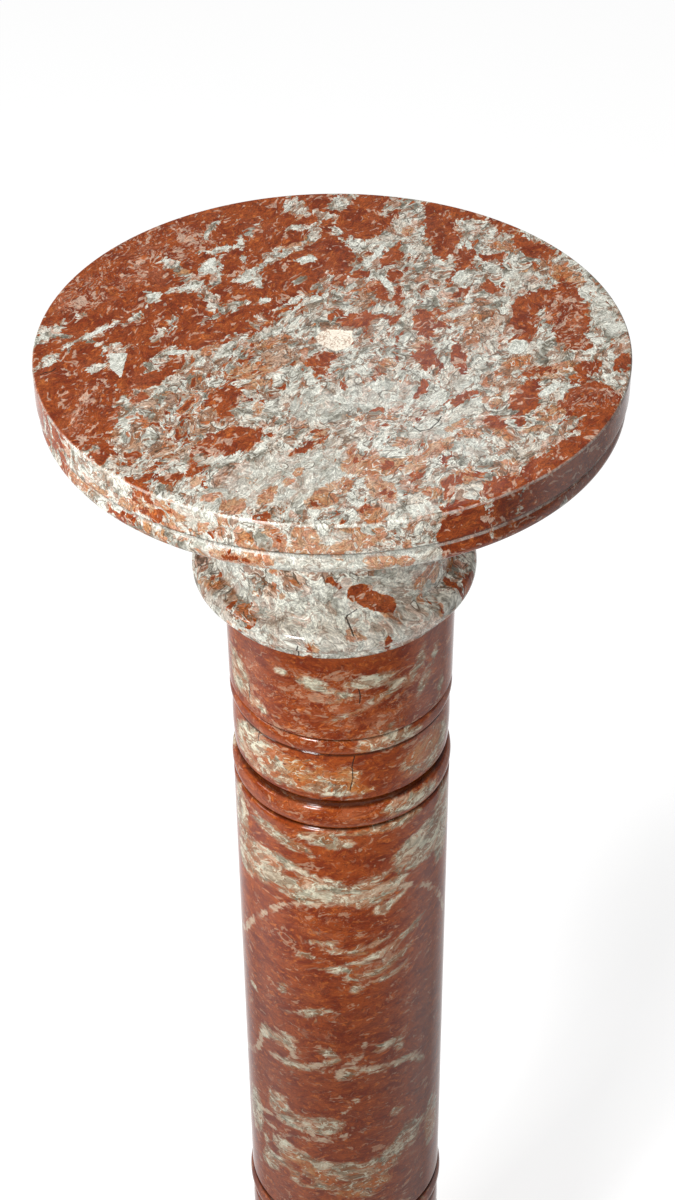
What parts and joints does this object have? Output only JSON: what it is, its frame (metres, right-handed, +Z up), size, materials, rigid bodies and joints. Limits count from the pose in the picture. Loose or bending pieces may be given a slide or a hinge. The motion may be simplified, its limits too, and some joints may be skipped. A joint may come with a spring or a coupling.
{
  "type": "marble pedestal column",
  "caption": "Turned marble column that stands on a square plinth and carries a round slab, with ring mouldings on its shaft and a waisted capital.",
  "frame": {"origin": "centre of the plinth's flat underside, on the axis of the plinth, base and shaft", "axes": "+Z up along the shaft, +X to the right and -Y towards someone facing the column"},
  "size_m": [0.3, 0.3, 1],
  "materials": {
    "top_marble": "polished red and grey fossil marble",
    "capital_marble": "polished grey-white marble with orange spots",
    "shaft_marble": "polished red marble with pale bands",
    "base_marble": "polished red and grey marble",
    "plinth_marble": "polished red marble with pale bands"
  },
  "bodies": {
    "root": {"top": "top_marble", "capital": "capital_marble", "shaft": "shaft_marble", "base": "base_marble", "plinth": "plinth_marble"}
  },
  "joints": []
}
